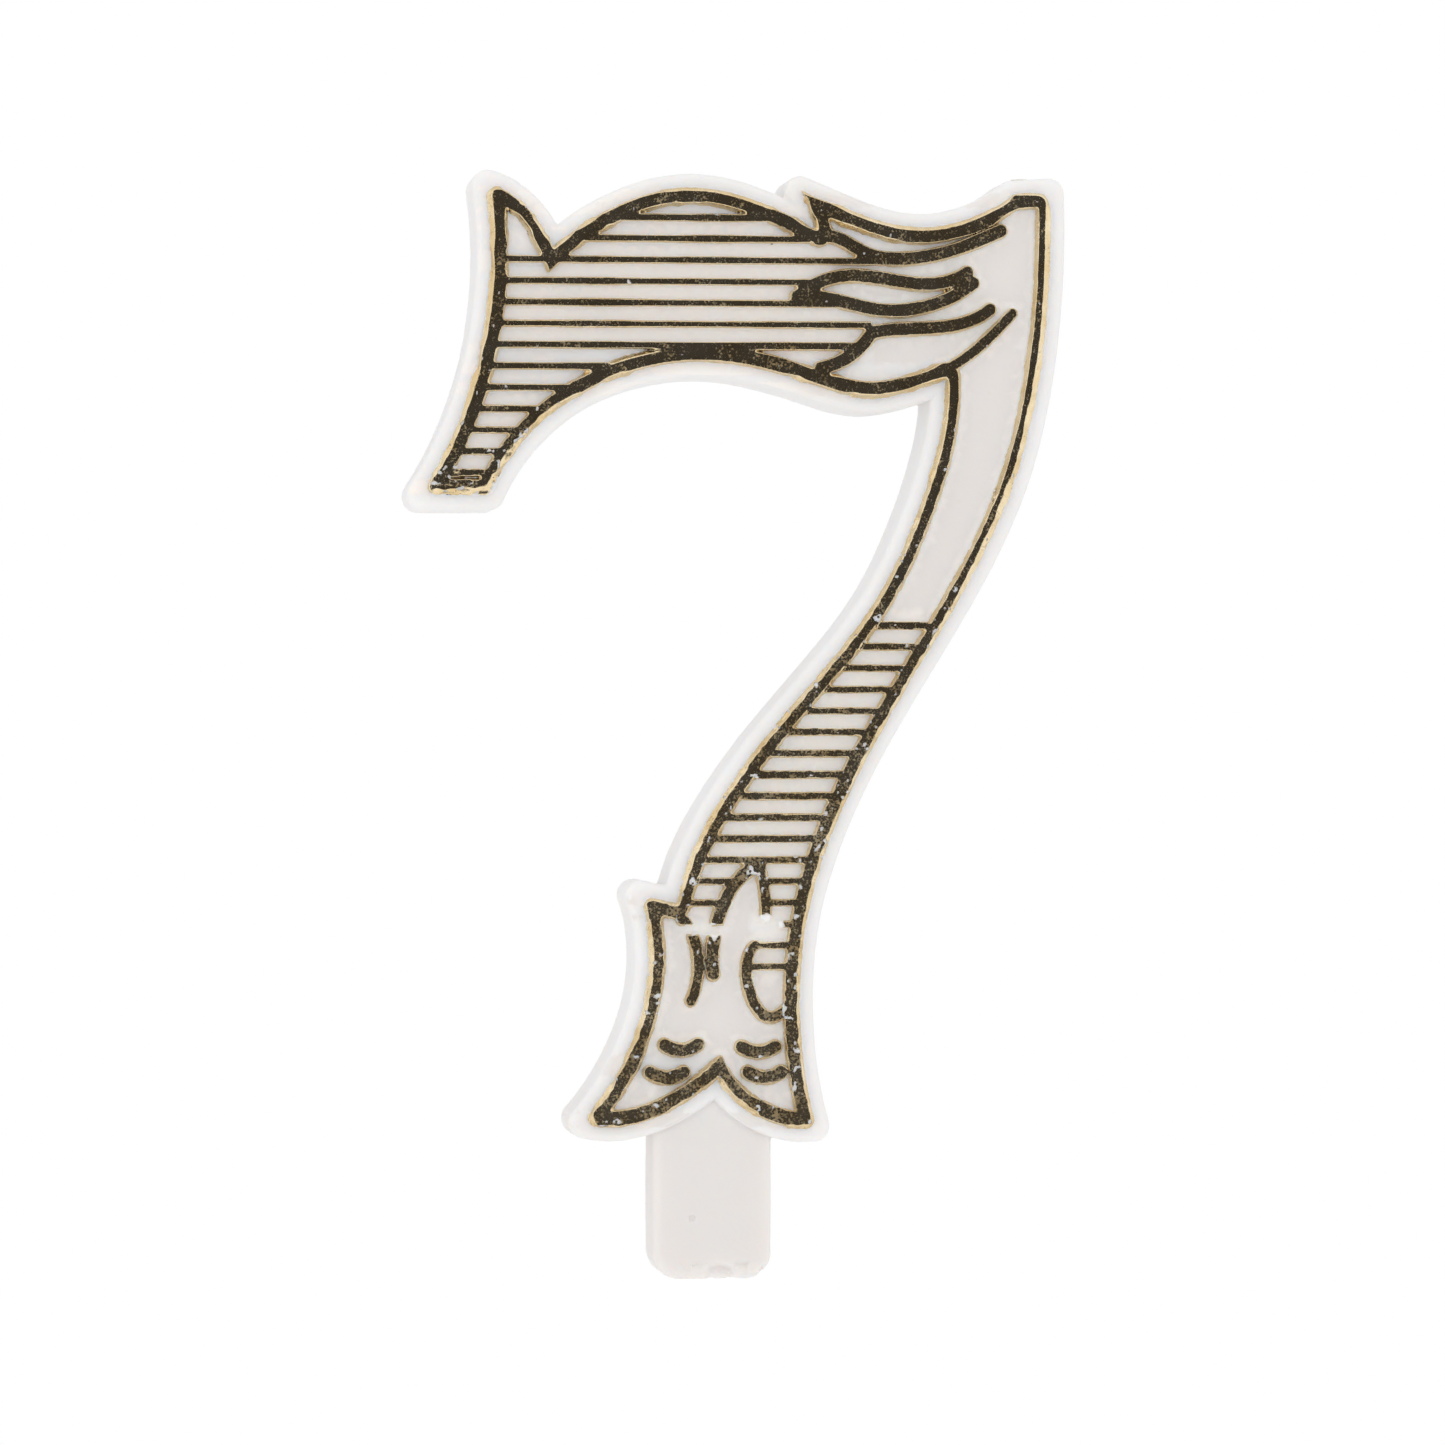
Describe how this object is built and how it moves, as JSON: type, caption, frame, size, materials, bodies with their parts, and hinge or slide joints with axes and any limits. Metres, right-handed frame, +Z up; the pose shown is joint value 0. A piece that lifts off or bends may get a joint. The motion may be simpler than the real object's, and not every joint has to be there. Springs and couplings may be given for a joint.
{
  "type": "number birthday candle",
  "caption": "Flat moulded wax numeral seven on a wide cake stake, its raised lines covered in gold foil, with a cast-in wick.",
  "frame": {"origin": "middle of the cake stake, level with the shoulder that stops on the icing", "axes": "+Z up along the numeral, +X to the reader's right, -Y out of the decorated front"},
  "size_m": [0.0553, 0.0087, 0.0927],
  "materials": {
    "wax": "satin milky translucent paraffin wax",
    "foil": "bright hot-stamped gold foil, finely crinkled",
    "wick": "waxed braided cotton"
  },
  "bodies": {
    "root": {"foil_crest": "foil", "foil_dash_1": "foil", "foil_dash_2": "foil", "foil_dash_3": "foil", "foil_dash_4": "foil", "foil_flame": "foil", "foil_head_lines": "foil", "foil_leaf_bar": "foil", "foil_leaf_left": "foil", "foil_leaf_right": "foil", "foil_lobe_lower": "foil", "foil_lobe_upper": "foil", "foil_lower_plume": "foil", "foil_outline": "foil", "foil_pocket": "foil", "foil_stem_lines": "foil", "foil_stem_plume": "foil", "wax_body": "wax", "wick": "wick"}
  },
  "joints": []
}
